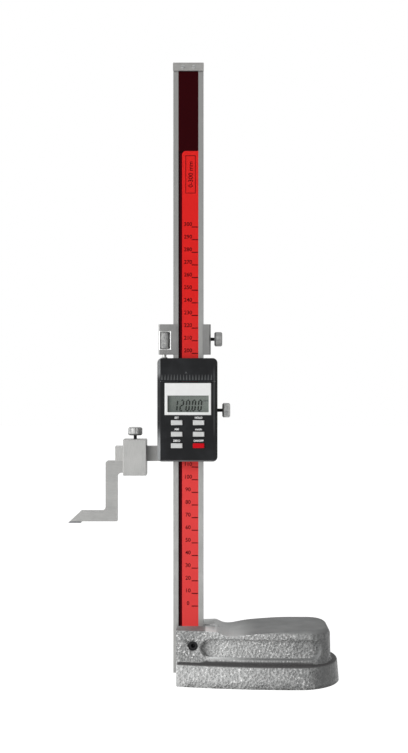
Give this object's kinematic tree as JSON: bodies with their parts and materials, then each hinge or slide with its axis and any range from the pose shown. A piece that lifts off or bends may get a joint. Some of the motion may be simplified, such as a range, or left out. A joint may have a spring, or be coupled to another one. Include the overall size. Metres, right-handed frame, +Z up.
{
  "type": "digital height gauge",
  "caption": "Upright scale beam on a heavy grip base, with a sliding digital head, fine adjustment and a clamped carbide-tipped scriber for marking out",
  "frame": {"origin": "On the surface the gauge stands on, on the centre line of the beam", "axes": "+Z up along the beam; -Y is the face with the display; +X runs along the base, away from the scriber"},
  "size_m": [0.2143, 0.0672, 0.487],
  "materials": {
    "hammertone_casting": "hammered silver-grey paint",
    "ground_steel": "ground and satin plated",
    "bright_steel": "bright plated",
    "black_steel": "black oxide",
    "black_plastic": "fine satin moulding",
    "white_plastic": "smooth",
    "grey_key": "smooth",
    "red_key": "smooth",
    "clear_window": "clear",
    "lcd_glass": "grey-green reflective display",
    "scale_print": "red printed scale",
    "circuit_board": "lacquered laminate",
    "soft_rubber": "moulded",
    "brass_gib": "machined",
    "carbide": "ground tungsten carbide"
  },
  "bodies": {
    "root": {"base": "hammertone_casting", "base_clamp_screw": "black_steel", "beam": "ground_steel", "scale_grid": "circuit_board", "scale_label": "scale_print", "stop_plate": "ground_steel", "stop_screws": "bright_steel"},
    "head": {"slider_frame": "ground_steel", "slider_gib": "brass_gib", "gib_screws": "black_steel", "head_housing": "black_plastic", "housing_screws": "bright_steel", "button_cell": "bright_steel", "cell_contact": "bright_steel", "lcd_bezel": "white_plastic", "lcd_window": "clear_window", "lcd_panel": "lcd_glass", "lcd_contact_strips": "soft_rubber", "main_board": "circuit_board", "keypad_mat": "soft_rubber", "sensor_board": "circuit_board", "board_connector": "white_plastic", "fine_rod": "bright_steel"},
    "battery_cover": {"battery_cover": "black_plastic"},
    "head_lock_screw": {"head_lock_screw": "bright_steel"},
    "fine_clamp": {"fine_clamp": "ground_steel", "fine_gib": "brass_gib"},
    "fine_nut": {"fine_nut": "bright_steel"},
    "fine_lock_screw": {"fine_lock_screw": "bright_steel"},
    "scriber_clamp": {"scriber_clamp": "ground_steel"},
    "scriber_clamp_screw": {"scriber_clamp_screw": "bright_steel"},
    "scriber": {"scriber": "ground_steel", "carbide_tip": "carbide"},
    "top_left_button": {"top_left_button": "grey_key"},
    "top_right_button": {"top_right_button": "grey_key"},
    "middle_left_button": {"middle_left_button": "grey_key"},
    "middle_right_button": {"middle_right_button": "grey_key"},
    "bottom_left_button": {"bottom_left_button": "grey_key"},
    "bottom_right_button": {"bottom_right_button": "red_key"}
  },
  "joints": [
    {"name": "head_slide", "type": "slide", "parent": "root", "child": "head", "axis": [0, 0, 1], "range_m": [-0.12, 0.18]},
    {"name": "cover_slide", "type": "slide", "parent": "head", "child": "battery_cover", "axis": [0, 0, 1], "range_m": [0, 0.02]},
    {"name": "head_lock_turn", "type": "hinge", "parent": "head", "child": "head_lock_screw", "pos_m": [0.0269, 0, 0.2122], "axis": [1, 0, 0], "range_deg": [0, 360]},
    {"name": "fine_adjust", "type": "slide", "parent": "head", "child": "fine_clamp", "axis": [0, 0, 1], "range_m": [-0.002, 0.002]},
    {"name": "nut_turn", "type": "hinge", "parent": "fine_clamp", "child": "fine_nut", "pos_m": [-0.019, -0.002, 0.26745], "axis": [0, 0, 1], "range_deg": [-1445, 1445]},
    {"name": "fine_lock_turn", "type": "hinge", "parent": "fine_clamp", "child": "fine_lock_screw", "pos_m": [0.0206, 0, 0.2686], "axis": [1, 0, 0], "range_deg": [0, 360]},
    {"name": "scriber_clamp_slide", "type": "slide", "parent": "head", "child": "scriber_clamp", "axis": [1, 0, 0], "range_m": [-0.006, 0.008]},
    {"name": "scriber_screw_turn", "type": "hinge", "parent": "scriber_clamp", "child": "scriber_clamp_screw", "pos_m": [-0.0423, 0, 0.1924], "axis": [0, 0, 1], "range_deg": [0, 360]},
    {"name": "scriber_slide", "type": "slide", "parent": "scriber_clamp", "child": "scriber", "axis": [1, 0, 0], "range_m": [-0.008, 0.0008]},
    {"name": "top_left_button_press", "type": "slide", "parent": "head", "child": "top_left_button", "axis": [0, 1, 0], "range_m": [0, 0.0006], "stiffness_N_per_m": 400, "springref_m": -0.0005},
    {"name": "top_right_button_press", "type": "slide", "parent": "head", "child": "top_right_button", "axis": [0, 1, 0], "range_m": [0, 0.0006], "stiffness_N_per_m": 400, "springref_m": -0.0005},
    {"name": "middle_left_button_press", "type": "slide", "parent": "head", "child": "middle_left_button", "axis": [0, 1, 0], "range_m": [0, 0.0006], "stiffness_N_per_m": 400, "springref_m": -0.0005},
    {"name": "middle_right_button_press", "type": "slide", "parent": "head", "child": "middle_right_button", "axis": [0, 1, 0], "range_m": [0, 0.0006], "stiffness_N_per_m": 400, "springref_m": -0.0005},
    {"name": "bottom_left_button_press", "type": "slide", "parent": "head", "child": "bottom_left_button", "axis": [0, 1, 0], "range_m": [0, 0.0006], "stiffness_N_per_m": 400, "springref_m": -0.0005},
    {"name": "bottom_right_button_press", "type": "slide", "parent": "head", "child": "bottom_right_button", "axis": [0, 1, 0], "range_m": [0, 0.0006], "stiffness_N_per_m": 400, "springref_m": -0.0005}
  ],
  "couplings": [
    {"joint": "nut_turn", "follows": "fine_adjust", "rad_per_m": 12566}
  ]
}
